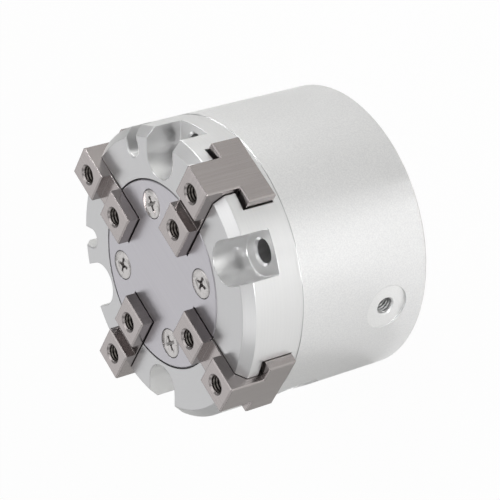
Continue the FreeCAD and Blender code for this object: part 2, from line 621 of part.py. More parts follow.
def make_piston_seal():
    """Rubber seal with two lips in the piston's rear groove."""
    bottom = PISTON_REAR_Z + SEAL_OFFSET
    top = bottom + SEAL_WIDTH
    middle = (bottom + top) / 2
    outer = BORE_RADIUS - SEAL_RUNNING_CLEARANCE
    return turned_profile([
        (PISTON_RADIUS - SEAL_GROOVE_DEPTH, bottom),
        (outer - SEAL_LIP_DEPTH, bottom),
        (outer, bottom + SEAL_LIP_DEPTH / 2),
        (outer - SEAL_LIP_DEPTH, middle),
        (outer, top - SEAL_LIP_DEPTH / 2),
        (outer - SEAL_LIP_DEPTH, top),
        (PISTON_RADIUS - SEAL_GROOVE_DEPTH, top),
    ])


def make_magnet_ring():
    """Magnet ring that the sensors read through the body wall."""
    bottom = PISTON_REAR_Z + MAGNET_OFFSET
    inner = PISTON_RADIUS - MAGNET_GROOVE_DEPTH
    return ring(inner, PISTON_RADIUS - MAGNET_INSET, bottom, bottom + MAGNET_WIDTH)


def make_wear_ring():
    """Plastic guide band near the front of the piston."""
    bottom = PISTON_REAR_Z + WEAR_RING_OFFSET
    inner = PISTON_RADIUS - WEAR_RING_GROOVE_DEPTH
    outer = BORE_RADIUS - SEAL_RUNNING_CLEARANCE
    return ring(inner, outer, bottom, bottom + WEAR_RING_WIDTH)


def make_front_bumper():
    """Soft ring in the piston's front face."""
    top = PISTON_FRONT_Z + BUMPER_PROUD
    return ring(BUMPER_INNER_RADIUS, BUMPER_OUTER_RADIUS, top - BUMPER_THICKNESS, top)


def make_rear_bumper():
    """Soft ring in the piston's rear face."""
    bottom = PISTON_REAR_Z - BUMPER_PROUD
    return ring(BUMPER_INNER_RADIUS, BUMPER_OUTER_RADIUS, bottom, bottom + BUMPER_THICKNESS)


def make_rod_seal():
    """Rubber lip seal round the rod."""
    inner = ROD_RADIUS + ROD_CLEARANCE
    return ring(inner, ROD_SEAL_RADIUS, ROD_SEAL_REAR_Z, RETAINER_REAR_Z)


def make_seal_retainer():
    """Washer pressed in over the rod seal."""
    inner = ROD_RADIUS + RETAINER_BORE_CLEARANCE
    return ring(inner, ROD_SEAL_RADIUS, RETAINER_REAR_Z, WALL_FRONT_Z)


def make_rear_cap():
    """Aluminium cap that closes the bore, with its ring groove."""
    edge = CAP_EDGE_CHAMFER
    cap = turned_profile([
        (0, CAP_REAR_Z),
        (CAP_RADIUS - edge, CAP_REAR_Z),
        (CAP_RADIUS, CAP_REAR_Z + edge),
        (CAP_RADIUS, CAP_FRONT_Z),
        (0, CAP_FRONT_Z),
    ])
    middle = (CAP_REAR_Z + CAP_FRONT_Z) / 2
    half = O_RING_SECTION_RADIUS + O_RING_PLAY
    floor_radius = CAP_SEAT_RADIUS - 2 * O_RING_SECTION_RADIUS
    return cap.cut(ring(floor_radius, CAP_SEAT_RADIUS, middle - half, middle + half))


def make_cap_o_ring():
    """O-ring between the cap and its seat."""
    middle = (CAP_REAR_Z + CAP_FRONT_Z) / 2
    return Part.makeTorus(CAP_SEAT_RADIUS - O_RING_SECTION_RADIUS, O_RING_SECTION_RADIUS, V(0, 0, middle))


def make_retaining_ring():
    """Spring ring with two eyed lugs that holds the cap."""
    inner = RING_OUTER_RADIUS - RING_BAND
    clip = ring(inner, RING_OUTER_RADIUS, RING_REAR_Z, CAP_REAR_Z)
    gap_half = RING_GAP_ANGLE / 2
    reach = CUT_REACH
    side = reach * math.tan(math.radians(gap_half))
    outline = [V(0, 0, RING_REAR_Z - OVERCUT), V(reach, side, RING_REAR_Z - OVERCUT)]
    outline.append(V(reach, -side, RING_REAR_Z - OVERCUT))
    gap = Part.Face(Part.makePolygon(outline + [outline[0]])).extrude(V(0, 0, RING_THICKNESS + 2 * OVERCUT))
    clip = clip.cut(gap)
    lug_place = inner
    lug = rod(RING_LUG_RADIUS, RING_REAR_Z, CAP_REAR_Z, lug_place)
    lug = lug.common(rod(RING_OUTER_RADIUS, RING_REAR_Z, CAP_REAR_Z))
    lug_turn = gap_half + math.degrees(RING_LUG_RADIUS / lug_place) / 2
    eye = rod(RING_LUG_HOLE_RADIUS, RING_REAR_Z - OVERCUT, CAP_REAR_Z + OVERCUT, lug_place)
    for turn in (lug_turn, -lug_turn):
        clip = clip.fuse(turned(lug, turn)).cut(turned(eye, turn))
    return turned(clip.removeSplitter(), 180.0)


def save(shape, node):
    """Write one node's solids to its own file after checking that they are sound."""
    if not shape.isValid() or not shape.Solids:
        raise ValueError(node + " is not a valid solid")
    shape.exportStep("parts/" + node + ".step")
    print(node, "solids", len(shape.Solids), "volume", round(shape.Volume, 1))


def main():
    """Build every piece and write it."""
    os.makedirs("parts", exist_ok=True)
    save(make_body(), "body")
    save(make_end_plate(), "end_plate")
    save(make_end_plate_screws(), "end_plate_screws")
    jaw = make_jaw()
    for name, angle in JAW_DIRECTIONS.items():
        save(turned(jaw, angle), "jaw_" + name)
    save(make_cam(), "cam")
    save(make_cam_bolt(), "cam_bolt")
    save(make_piston(), "piston")
    save(make_piston_seal(), "piston_seal")
    save(make_magnet_ring(), "magnet_ring")
    save(make_wear_ring(), "wear_ring")
    save(make_front_bumper(), "front_bumper")
    save(make_rear_bumper(), "rear_bumper")
    save(make_rod_seal(), "rod_seal")
    save(make_seal_retainer(), "rod_seal_retainer")
    save(make_rear_cap(), "rear_cap")
    save(make_cap_o_ring(), "cap_o_ring")
    save(make_retaining_ring(), "cap_retaining_ring")


main()
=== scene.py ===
"""Studio scene of a round four-jaw centric gripper, dressed over its solid parts."""

import logging
import math
from abc import ABC, abstractmethod
from dataclasses import dataclass
from enum import Enum

import bmesh
import bpy
from mathutils import Matrix, Vector


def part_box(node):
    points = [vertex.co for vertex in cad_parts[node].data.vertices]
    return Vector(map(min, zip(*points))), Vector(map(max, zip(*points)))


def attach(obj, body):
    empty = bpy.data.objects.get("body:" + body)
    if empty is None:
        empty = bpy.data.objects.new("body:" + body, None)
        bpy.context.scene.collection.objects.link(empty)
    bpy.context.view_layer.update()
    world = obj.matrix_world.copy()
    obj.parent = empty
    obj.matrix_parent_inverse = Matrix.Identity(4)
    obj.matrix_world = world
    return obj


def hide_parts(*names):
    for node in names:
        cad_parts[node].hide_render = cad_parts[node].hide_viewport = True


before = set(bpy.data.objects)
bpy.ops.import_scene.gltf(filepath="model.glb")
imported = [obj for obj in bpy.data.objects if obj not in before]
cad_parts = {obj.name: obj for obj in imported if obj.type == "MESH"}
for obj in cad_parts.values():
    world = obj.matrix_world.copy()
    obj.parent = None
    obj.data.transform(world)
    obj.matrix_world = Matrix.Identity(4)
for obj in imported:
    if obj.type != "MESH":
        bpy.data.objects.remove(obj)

LOG = logging.getLogger("gripper")
MM = 0.001
EDGE_SAMPLES = 6
# Most of a noise pattern lies between the first and the last of these values
PATTERN_LOW, PATTERN_MIDDLE, PATTERN_HIGH = 0.3, 0.5, 0.7


# Colour and node helpers


def linear(hex_colour: str) -> tuple[float, float, float, float]:
    """Turn an sRGB hex colour into linear values.

    Args:
        hex_colour: Six hex digits with a leading hash sign.

    Returns:
        Linear red, green and blue, and an alpha of 1.
    """
    levels = [int(hex_colour[i : i + 2], 16) / 255 for i in (1, 3, 5)]
    red, green, blue = [v / 12.92 if v <= 0.04045 else ((v + 0.055) / 1.055) ** 2.4 for v in levels]
    return red, green, blue, 1.0


def add_node(
    tree: bpy.types.NodeTree, kind: str, inputs: dict | None = None, **settings: object
) -> bpy.types.Node:
    """Add a node, set its properties, and fill or link its inputs.

    Args:
        tree: Node tree that gets the node.
        kind: Type name of the node.
        inputs: Input name or number, to a plain value or to the socket that feeds it.
        settings: Properties of the node, such as its operation.

    Returns:
        The new node.
    """
    node = tree.nodes.new(kind)
    for name, value in settings.items():
        setattr(node, name, value)
    for key, value in (inputs or {}).items():
        if isinstance(value, bpy.types.NodeSocket):
            tree.links.new(value, node.inputs[key])
        else:
            node.inputs[key].default_value = value
    return node


def new_material(name: str) -> bpy.types.Material:
    """Make an empty node material.

    Args:
        name: Name of the material.

    Returns:
        Material without nodes.
    """
    material = bpy.data.materials.new(name)
    material.use_nodes = True
    material.node_tree.nodes.clear()
    return material


def millimetres(tree: bpy.types.NodeTree) -> bpy.types.NodeSocket:
    """Give the piece's own coordinates in millimetres.

    Args:
        tree: Node tree of the material.

    Returns:
        Vector socket.
    """
    place = add_node(tree, "ShaderNodeTexCoord").outputs["Object"]
    scaled = add_node(tree, "ShaderNodeVectorMath", {0: place, "Scale": 1 / MM}, operation="SCALE")
    return scaled.outputs[0]


def lathe_place(tree: bpy.types.NodeTree) -> bpy.types.NodeSocket:
    """Give distance from the gripper's axis and height, both in millimetres, as X and Y of a vector.

    A pattern on it runs in rings, as a lathe tool leaves it on a face or round a barrel.

    Args:
        tree: Node tree of the material.

    Returns:
        Vector socket.
    """
    parts = add_node(tree, "ShaderNodeSeparateXYZ", {0: millimetres(tree)})
    flat = add_node(tree, "ShaderNodeCombineXYZ", {0: parts.outputs[0], 1: parts.outputs[1]})
    radius = add_node(tree, "ShaderNodeVectorMath", {0: flat.outputs[0]}, operation="LENGTH")
    inputs = {0: radius.outputs["Value"], 1: parts.outputs[2]}
    return add_node(tree, "ShaderNodeCombineXYZ", inputs).outputs[0]


def tint(
    tree: bpy.types.NodeTree, pattern: bpy.types.NodeSocket, dark: str, light: str
) -> bpy.types.NodeSocket:
    """Blend two hex colours by a pattern, whose middle part is stretched to the full range.

    Args:
        tree: Node tree of the material.
        pattern: Value socket, most of it between PATTERN_LOW and PATTERN_HIGH.
        dark: Colour of the pattern's low parts.
        light: Colour of its high parts.

    Returns:
        Colour socket.
    """
    middle = {"Value": pattern, "From Min": PATTERN_LOW, "From Max": PATTERN_HIGH}
    share = add_node(tree, "ShaderNodeMapRange", middle).outputs[0]
    blend = {0: share, 6: linear(dark), 7: linear(light)}
    return add_node(tree, "ShaderNodeMix", blend, data_type="RGBA").outputs[2]


def finish_material(
    material: bpy.types.Material,
    colour: bpy.types.NodeSocket,
    metallic: float,
    roughness: bpy.types.NodeSocket,
    relief: bpy.types.NodeSocket,
    relief_mm: float,
    relief_share: float,
    edge_mm: float = 0.0,
) -> bpy.types.Material:
    """Close a material with one surface shader.

    Args:
        material: Material that has the patterns in its node tree.
        colour: Colour socket.
        metallic: 1 for bare metal, 0 for plastic, rubber and oxide.
        roughness: Value socket of the roughness.
        relief: Value socket of the height pattern.
        relief_mm: Height of the relief.
        relief_share: Share of the relief that shows.
        edge_mm: Radius of the eased edges, which catch the light as thin lines.

    Returns:
        The same material.
    """
    tree = material.node_tree
    height = {"Height": relief, "Distance": relief_mm * MM, "Strength": relief_share}
    if edge_mm:
        eased = add_node(tree, "ShaderNodeBevel", {"Radius": edge_mm * MM}, samples=EDGE_SAMPLES)
        height["Normal"] = eased.outputs[0]
    bump = add_node(tree, "ShaderNodeBump", height)
    inputs = {"Base Color": colour, "Metallic": metallic, "Roughness": roughness, "Normal": bump.outputs[0]}
    shader = add_node(tree, "ShaderNodeBsdfPrincipled", inputs)
    add_node(tree, "ShaderNodeOutputMaterial", {"Surface": shader.outputs[0]})
    return material


# Finishes, each named for the real material and how its surface was made


class Grain(Enum):
    """Direction in which a ground surface was passed under the wheel."""

    ALONG_X = 0
    ALONG_Y = 1


@dataclass(frozen=True)
class BlastedAluminium:
    """Aluminium bar, bead blasted on the barrel, turned and milled at the jaw end, clear anodised.

    The blasted part looks like fine frosted grit with soft, wide highlights. The turned part has
    faint rings and a tighter shine. The faces that look forward are drawn greyer as painted shade.
    The milled pockets and slots have the tightest shine and are drawn a little brighter as painted
    light.
    """

    name: str = "aluminium_bead_blasted_and_turned"
    dark: str = "#DADADB"
    light: str = "#E6E6E6"
    # Painted shade: the faces that look forward are drawn greyer
    shade_painted_front_dark: str = "#C5C5C6"
    shade_painted_front_light: str = "#CCCCCD"
    # Painted light: the milled pockets and slots are drawn brighter than the rest
    painted_light_milled_dark: str = "#E4E4E4"
    painted_light_milled_light: str = "#EBEBEB"
    blasted_roughness: float = 0.37
    blasted_change: float = 0.04
    turned_roughness: float = 0.3
    turned_change: float = 0.01
    milled_roughness: float = 0.28
    grit_mm: float = 0.34
    ring_mm: float = 0.3
    ring_detail: float = 1.0
    ring_tint_change: float = 0.04
    ring_relief_change: float = 0.02
    metal_share: float = 0.85
    relief_mm: float = 0.02
    relief_share: float = 0.3
    edge_mm: float = 0.22
    line_height_mm: float = 36.0
    front_height_mm: float = 51.3
    barrel_inside_mm: float = 34.8
    shade_painted_front_tilt: float = 0.9
    chamfer_deg: float = 45.0
    chamfer_tilt_spare: float = 0.05

    def milled(
        self, tree: bpy.types.NodeTree, place: bpy.types.NodeSocket, tilt: bpy.types.NodeSocket
    ) -> bpy.types.NodeSocket:
        """Mask what is cut into the body: pockets, slots, bores and port faces.

        They lie inside the barrel and behind the front, and aren't the front edge's chamfer.

        Args:
            tree: Node tree of the material.
            place: Distance from the axis and height, as X and Y of a vector.
            tilt: Forward part of the surface's direction.

        Returns:
            Value socket, 1 on cut surfaces.
        """
        radius, height = add_node(tree, "ShaderNodeSeparateXYZ", {0: place}).outputs[:2]
        chamfer_tilt = math.cos(math.radians(self.chamfer_deg))
        tests = (
            ("LESS_THAN", {0: radius, 1: self.barrel_inside_mm}),
            ("LESS_THAN", {0: height, 1: self.front_height_mm}),
            ("COMPARE", {0: tilt, 1: chamfer_tilt, 2: self.chamfer_tilt_spare}),
        )
        inside, behind, chamfer = [
            add_node(tree, "ShaderNodeMath", inputs, operation=test).outputs[0] for test, inputs in tests
        ]
        other = add_node(tree, "ShaderNodeMath", {0: 1.0, 1: chamfer}, operation="SUBTRACT").outputs[0]
        both = add_node(tree, "ShaderNodeMath", {0: inside, 1: behind}, operation="MULTIPLY").outputs[0]
        return add_node(tree, "ShaderNodeMath", {0: both, 1: other}, operation="MULTIPLY").outputs[0]

    def make(self) -> bpy.types.Material:
        """Build the material.

        Returns:
            The material.
        """
        material = new_material(self.name)
        tree = material.node_tree
        place = millimetres(tree)
        rings_place = lathe_place(tree)
        height = add_node(tree, "ShaderNodeSeparateXYZ", {0: place}).outputs[2]
        forward_of_line = {0: height, 1: self.line_height_mm}
        front = add_node(tree, "ShaderNodeMath", forward_of_line, operation="GREATER_THAN").outputs[0]
        # Real grit marks are near 0.1 mm, too fine to show, so they are drawn about three times coarser
        spots = {"Vector": place, "Scale": 1 / self.grit_mm}
        grit = add_node(tree, "ShaderNodeTexNoise", spots).outputs["Fac"]
        # Turning marks of a fine cut are 0.05 to 0.1 mm apart and are coarser here for the same reason
        marks = {"Vector": rings_place, "Scale": 1 / self.ring_mm, "Detail": self.ring_detail}
        rings = add_node(tree, "ShaderNodeTexNoise", marks).outputs["Fac"]
        # Each row holds a pattern, the value at its middle and the change to either side
        rows = (
            (rings, self.turned_roughness, self.turned_change),
            (grit, self.blasted_roughness, self.blasted_change),
            (rings, PATTERN_MIDDLE, self.ring_tint_change),
            (rings, PATTERN_MIDDLE, self.ring_relief_change),
        )
        rough_turned, rough_blasted, ring_tint, ring_relief = [
            add_node(
                tree,
                "ShaderNodeMapRange",
                {
                    "Value": pattern,
                    "From Min": PATTERN_LOW,
                    "From Max": PATTERN_HIGH,
                    "To Min": middle - change,
                    "To Max": middle + change,
                },
            ).outputs[0]
            for pattern, middle, change in rows
        ]
        normal = add_node(tree, "ShaderNodeNewGeometry").outputs["Normal"]
        forward = add_node(tree, "ShaderNodeSeparateXYZ", {0: normal}).outputs[2]
        # Cut surfaces get their own tighter shine, and a brighter colour that is painted light
        milled = self.milled(tree, rings_place, forward)
        rough_cut = {0: milled, 2: rough_turned, 3: self.milled_roughness}
        # Each pair holds the blasted part's value and the value ahead of the finish line
        pairs = (
            (grit, ring_tint),
            (rough_blasted, add_node(tree, "ShaderNodeMix", rough_cut, data_type="FLOAT").outputs[0]),
            (grit, ring_relief),
        )
        pattern, roughness, relief = [
            add_node(tree, "ShaderNodeMix", {0: front, 2: behind, 3: ahead}, data_type="FLOAT").outputs[0]
            for behind, ahead in pairs
        ]
        # Mask of the faces that look forward, which carry the painted shade
        facing = {0: forward, 1: self.shade_painted_front_tilt}
        level = add_node(tree, "ShaderNodeMath", facing, operation="GREATER_THAN").outputs[0]
        shade_painted_front = add_node(tree, "ShaderNodeMath", {0: front, 1: level}, operation="MULTIPLY").outputs[0]
        colour = tint(tree, pattern, self.dark, self.light)
        # The faces that look forward get painted shade, and the milled pockets and slots get painted light
        for mask, dark, light in (
            (shade_painted_front, self.shade_painted_front_dark, self.shade_painted_front_light),
            (milled, self.painted_light_milled_dark, self.painted_light_milled_light),
        ):
            mixed = {0: mask, 6: colour, 7: tint(tree, pattern, dark, light)}
            colour = add_node(tree, "ShaderNodeMix", mixed, data_type="RGBA").outputs[2]
        # The clear oxide skin scatters some light, so a small share of the surface isn't metallic
        return finish_material(
            material,
            colour,
            self.metal_share,
            roughness,
            relief,
            self.relief_mm,
            self.relief_share,
            self.edge_mm,
        )


@dataclass(frozen=True)
class PatternedFinish(ABC):
    """Finish whose colour, roughness and relief all follow one fine pattern."""

    name: str
    dark: str
    light: str
    roughness: float
    roughness_below: float = 0.02
    roughness_above: float = 0.02
    metallic: float = 1.0
    relief_mm: float = 0.02
    relief_share: float = 0.4
    edge_mm: float = 0.0

    @abstractmethod
    def pattern(self, tree: bpy.types.NodeTree) -> bpy.types.NodeSocket:
        """Give the pattern that the finish follows, as a value socket of the tree."""

    def make(self) -> bpy.types.Material:
        """Build the material.

        Returns:
            The material.
        """
        material = new_material(self.name)
        tree = material.node_tree
        pattern = self.pattern(tree)
        levels = {
            "Value": pattern,
            "From Min": PATTERN_LOW,
            "From Max": PATTERN_HIGH,
            "To Min": self.roughness - self.roughness_below,
            "To Max": self.roughness + self.roughness_above,
        }
        roughness = add_node(tree, "ShaderNodeMapRange", levels).outputs[0]
        return finish_material(
            material,
            tint(tree, pattern, self.dark, self.light),
            self.metallic,
            roughness,
            pattern,
            self.relief_mm,
            self.relief_share,
            self.edge_mm,
        )


@dataclass(frozen=True)
class GroundSteel(PatternedFinish):
    """Steel, ground: fine straight streaks and a close, slightly stretched shine."""

    relief_mm: float = 0.001
    relief_share: float = 0.2
    edge_mm: float = 0.22
    grain: Grain = Grain.ALONG_X
    streak_mm: float = 0.3
    streak_length_mm: float = 14.0
    streak_detail: float = 1.0

    def pattern(self, tree: bpy.types.NodeTree) -> bpy.types.NodeSocket:
        """Give streaks that run along the grain.

        Args:
            tree: Node tree of the material.

        Returns:
            Value socket.
        """
        along = self.streak_mm / self.streak_length_mm
        stretch = [1.0, 1.0, along]
        stretch[self.grain.value] = along
        inputs = {0: millimetres(tree), 1: tuple(stretch)}
        drawn = add_node(tree, "ShaderNodeVectorMath", inputs, operation="MULTIPLY").outputs[0]
        # Grinding streaks are a few hundredths of a millimetre wide and are drawn wider so that they show
        streaks = {"Vector": drawn, "Scale": 1 / self.streak_mm, "Detail": self.streak_detail}
        return add_node(tree, "ShaderNodeTexNoise", streaks).outputs["Fac"]


@dataclass(frozen=True)
class TurnedMetal(PatternedFinish):
    """Metal turned on a lathe: fine rings round the axis and a soft metallic shine."""

    roughness_below: float = 0.05
    roughness_above: float = 0.05
    ring_mm: float = 0.35
    ring_detail: float = 1.5

    def pattern(self, tree: bpy.types.NodeTree) -> bpy.types.NodeSocket:
        """Give turning marks. Real ones are near 0.1 mm apart and are drawn coarser so that they show."""
        rings = {"Vector": lathe_place(tree), "Scale": 1 / self.ring_mm, "Detail": self.ring_detail}
        return add_node(tree, "ShaderNodeTexNoise", rings).outputs["Fac"]


@dataclass(frozen=True)
class SmoothMetal(PatternedFinish):
    """Small metal parts, plated, oxidised, phosphated or tapped: a clean, even shine, faintly clouded."""

    roughness_above: float = 0.03
    relief_mm: float = 0.003
    relief_share: float = 0.2
    cloud_mm: float = 1.2

    def pattern(self, tree: bpy.types.NodeTree) -> bpy.types.NodeSocket:
        """Give faint clouds."""
        clouds = {"Vector": millimetres(tree), "Scale": 1 / self.cloud_mm}
        return add_node(tree, "ShaderNodeTexNoise", clouds).outputs["Fac"]


@dataclass(frozen=True)
class MouldedPart(PatternedFinish):
    """Rubber, plastic or bonded magnet, moulded, cast or turned: matt to satin, with a fine even skin."""

    roughness_below: float = 0.06
    roughness_above: float = 0.06
    metallic: float = 0.0
    skin_mm: float = 0.3
    skin_detail: float = 3.0

    def pattern(self, tree: bpy.types.NodeTree) -> bpy.types.NodeSocket:
        """Give the fine unevenness of the skin."""
        skin = {"Vector": millimetres(tree), "Scale": 1 / self.skin_mm, "Detail": self.skin_detail}
        return add_node(tree, "ShaderNodeTexNoise", skin).outputs["Fac"]


BODY_FINISH = BlastedAluminium()
JAW_X_FINISH = GroundSteel("tool_steel_ground_along_x", "#A7A1A0", "#AFA9A8", 0.22)
JAW_Y_FINISH = GroundSteel("tool_steel_ground_along_y", "#A7A1A0", "#AFA9A8", 0.22, grain=Grain.ALONG_Y)
PLATE_FINISH = GroundSteel("stainless_plate_ground", "#BDBBC0", "#C2C0C5", 0.33)
SCREW_FINISH = SmoothMetal("steel_bright_zinc_plated", "#C0BDBC", "#C8C5C4", 0.24)
# The jaws' threads are drawn far darker than the jaws' steel, as painted shade inside the holes
SHADED_THREAD_FINISH = SmoothMetal("tool_steel_tapped_thread_painted_shade", "#5C5854", "#6E6A66", 0.22)
# The ports' threads are drawn darker than the body's aluminium, as painted shade inside the ports
SHADED_PORT_THREAD_FINISH = SmoothMetal("aluminium_tapped_thread_painted_shade", "#AEAEAE", "#BCBCBC", 0.31)
CAM_FINISH = GroundSteel("cam_steel_hardened_ground", "#A29D9B", "#B4AFAD", 0.3)
BOLT_FINISH = SmoothMetal("steel_black_oxide", "#3A3A3B", "#4A4A4B", 0.38)
PISTON_FINISH = TurnedMetal("aluminium_turned_hard_anodised", "#B4B2A8", "#C4C2B8", 0.36)
CAP_FINISH = TurnedMetal("aluminium_turned_clear_anodised", "#D2D2D3", "#E0E0E0", 0.3)
RING_FINISH = SmoothMetal("spring_steel_phosphated", "#4C4B4B", "#605F5E", 0.36)
RETAINER_FINISH = TurnedMetal("steel_turned_retainer", "#B0AFAE", "#C0BFBE", 0.3)
SEAL_FINISH = MouldedPart("nitrile_rubber_moulded", "#181818", "#222222", 0.5)
BUMPER_FINISH = MouldedPart("polyurethane_bumper_cast", "#33291F", "#43372A", 0.42)
MAGNET_FINISH = MouldedPart("ferrite_magnet_plastic_bonded", "#242323", "#312F2F", 0.55)
GUIDE_FINISH = MouldedPart("acetal_guide_ring_turned", "#DDD8CB", "#E8E4D8", 0.4)


def dress(node: str, material: bpy.types.Material) -> None:
    """Give one solid of the frame its finish.

    Args:
        node: Name of the solid.
        material: Finish for all its faces.
    """
    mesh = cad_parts[node].data
    for index in range(len(mesh.materials)):
        mesh.materials[index] = material
    LOG.info("dressed %s with %s", node, material.name)


def piece_from_mesh(
    name: str, build: bmesh.types.BMesh, material: bpy.types.Material, smooth_deg: float
) -> bpy.types.Object:
    """Turn a finished bmesh, in metres, into a piece of the scene.

    Args:
        name: Name of the piece.
        build: Mesh, which is freed.
        material: Finish of the piece.
        smooth_deg: Edges flatter than this many degrees are shaded smooth.

    Returns:
        The new object.
    """
    bmesh.ops.recalc_face_normals(build, faces=build.faces)
    mesh = bpy.data.meshes.new(name)
    build.to_mesh(mesh)
    build.free()
    mesh.polygons.foreach_set("use_smooth", [True] * len(mesh.polygons))
    mesh.set_sharp_from_angle(angle=math.radians(smooth_deg))
    mesh.materials.append(material)
    piece = bpy.data.objects.new(name, mesh)
    bpy.context.scene.collection.objects.link(piece)
    return piece


def circle(radius: float, height: float, count: int) -> list[Vector]:
    """Give evenly spaced points of a circle round Z."""
    angles = [2 * math.pi * k / count for k in range(count)]
    return [Vector((radius * math.cos(a), radius * math.sin(a), height)) for a in angles]


def join_rows(build: bmesh.types.BMesh, rows: list[list[bmesh.types.BMVert]]) -> None:
    """Join each closed ring of vertices to the next one with a band of faces.

    Args:
        build: Mesh that has the vertices.
        rows: Rings with the same number of vertices each.
    """
    count = len(rows[0])
    for low, high in zip(rows, rows[1:]):
        for i in range(count):
            j = (i + 1) % count
            build.faces.new((low[i], low[j], high[j], high[i]))


def loft(build: bmesh.types.BMesh, rings: list[list[Vector]]) -> None:
    """Join closed rings of points, in millimetres, into one skin with a flat cap at each end.

    Args:
        build: Mesh that gets the skin, in metres.
        rings: Rings with the same number of points each.
    """
    rows = [[build.verts.new(point * MM) for point in ring] for ring in rings]
    join_rows(build, rows)
    build.faces.new(rows[0])
    build.faces.new(rows[-1])


@dataclass
class ThreadSleeve:
    """Thread of a tapped hole, as a thin sleeve inside the hole. Sizes are in millimetres."""

    name: str
    mouth: tuple[float, float, float]
    outward: tuple[float, float, float]
    length: float
    outer_radius: float = 2.095
    root_radius: float = 2.05
    crest_radius: float = 1.78
    pitch: float = 0.8
    root_share: float = 0.12
    flank_share: float = 0.7
    lead_in_turns: float = 0.6
    around: int = 40
    steps_per_turn: int = 12
    smooth_deg: float = 50.0

    def radius(self, turn: float, depth: float) -> float:
        """Give the sleeve's inner radius at one point.

        Args:
            turn: Place round the hole, 0 to 1.
            depth: Distance from the mouth.

        Returns:
            Radius in millimetres.
        """
        wave = abs(((depth / self.pitch + turn) % 1.0) * 2 - 1)
        tooth = min(1.0, max(0.0, (wave - self.root_share) / self.flank_share))
        ramp = self.lead_in_turns * self.pitch
        lead_in = min(1.0, depth / ramp, (self.length - depth) / ramp)
        return self.root_radius - tooth * lead_in * (self.root_radius - self.crest_radius)

    def thread_ring(self, depth: float) -> list[Vector]:
        """Give the points of the thread at one depth.

        Args:
            depth: Distance from the mouth.

        Returns:
            Points round the hole.
        """
        round_points = circle(1.0, -depth, self.around)
        radii = [self.radius(k / self.around, depth) for k in range(self.around)]
        return [Vector((r * p.x, r * p.y, p.z)) for r, p in zip(radii, round_points)]

    def make(self, material: bpy.types.Material) -> bpy.types.Object:
        """Build the sleeve as one closed skin.

        Args:
            material: Finish of the thread.

        Returns:
            The sleeve.
        """
        direction = Vector(self.outward).normalized()
        aim = direction.to_track_quat("Z", "Y").to_matrix().to_4x4()
        place = Matrix.Translation(Vector(self.mouth)) @ aim
        steps = round(self.length / self.pitch * self.steps_per_turn)
        rings = [self.thread_ring(self.length * i / steps) for i in range(steps + 1)]
        rings += [circle(self.outer_radius, -depth, self.around) for depth in (self.length, 0.0)]
        build = bmesh.new()
        rows = [[build.verts.new((place @ point) * MM) for point in ring] for ring in rings]
        join_rows(build, rows + rows[:1])
        return piece_from_mesh(self.name, build, material, self.smooth_deg)


@dataclass
class CrossScrew:
    """Countersunk screw with a cross recess. Sizes are in millimetres."""

    head_radius: float = 3.5
    edge_radius: float = 0.12
    edge_share: float = 0.3
    land: float = 0.3
    shank_radius: float = 1.5
    tip_chamfer: float = 0.35
    length: float = 9.0
    recess_radius: float = 1.87
    recess_half: float = 0.36
    recess_core: float = 0.66
    corner_share: float = 0.72
    corner_spare: float = 0.1
    recess_sections: tuple[tuple[float, float], ...] = ((0.45, -2.0), (0.94, -0.25), (1.0, 0.0), (1.0, 0.3))
    half_kept: float = 0.55
    core_kept: float = 0.4
    eased_edge: float = 0.05
    eased_from_deg: float = 40.0
    segments: int = 64
    smooth_deg: float = 30.0

    def profile(self) -> list[tuple[float, float]]:
        """Give the turned outline from the tip up to the head.

        Returns:
            Radius and height of each point, with the front of the head at height 0.
        """
        cone_bottom = -self.land - (self.head_radius - self.shank_radius)
        tip = -self.length
        ease = self.edge_share * self.edge_radius
        return [
            (self.shank_radius - self.tip_chamfer, tip),
            (self.shank_radius, tip + self.tip_chamfer),
            (self.shank_radius, cone_bottom),
            (self.head_radius, -self.land),
            (self.head_radius, -self.edge_radius),
            (self.head_radius - ease, -ease),
            (self.head_radius - self.edge_radius, 0.0),
        ]

    def recess_ring(self, scale: float, height: float) -> list[Vector]:
        """Give the cross, with tapered arm ends and a round core, at one height of the recess.

        Args:
            scale: Size of the arms, 1 at the front and smaller further down.
            height: Height of the ring.

        Returns:
            Points of the ring.
        """
        reach = self.recess_radius * scale
        half = self.recess_half * (self.half_kept + (1 - self.half_kept) * scale)
        core = self.recess_core * (self.core_kept + (1 - self.core_kept) * scale)
        corner = self.corner_share * core + self.corner_spare
        arm = ((core, -half), (reach, -half), (reach, half), (core, half), (corner, corner))
        points = []
        for quarter in range(4):
            turn = Matrix.Rotation(quarter * math.pi / 2, 2)
            points += [(turn @ Vector(point)).to_3d() + Vector((0, 0, height)) for point in arm]
        return points

    def solid(self, name: str, rings: list[list[Vector]]) -> bpy.types.Object:
        """Make a closed piece of the screw's steel from rings of points.

        Args:
            name: Name of the piece.
            rings: Rings in millimetres.

        Returns:
            The piece.
        """
        build = bmesh.new()
        loft(build, rings)
        return piece_from_mesh(name, build, bpy.data.materials[SCREW_FINISH.name], self.smooth_deg)

    def mesh(self) -> bpy.types.Mesh:
        """Cut the recess out of the turned blank and ease its edges.

        Returns:
            Mesh of one screw, with its front at height 0.
        """
        blank = self.solid("screw_blank", [circle(r, z, self.segments) for r, z in self.profile()])
        punch = self.solid("screw_punch", [self.recess_ring(scale, z) for scale, z in self.recess_sections])
        cut = blank.modifiers.new("cross_recess", "BOOLEAN")
        cut.object = punch
        cut.solver = "EXACT"
        ease = blank.modifiers.new("eased_edges", "BEVEL")
        ease.width = self.eased_edge * MM
        ease.limit_method = "ANGLE"
        ease.angle_limit = math.radians(self.eased_from_deg)
        ease.use_clamp_overlap = True
        evaluated = blank.evaluated_get(bpy.context.evaluated_depsgraph_get())
        mesh = bpy.data.meshes.new_from_object(evaluated)
        for spare in (blank, punch):
            bpy.data.objects.remove(spare)
        return mesh


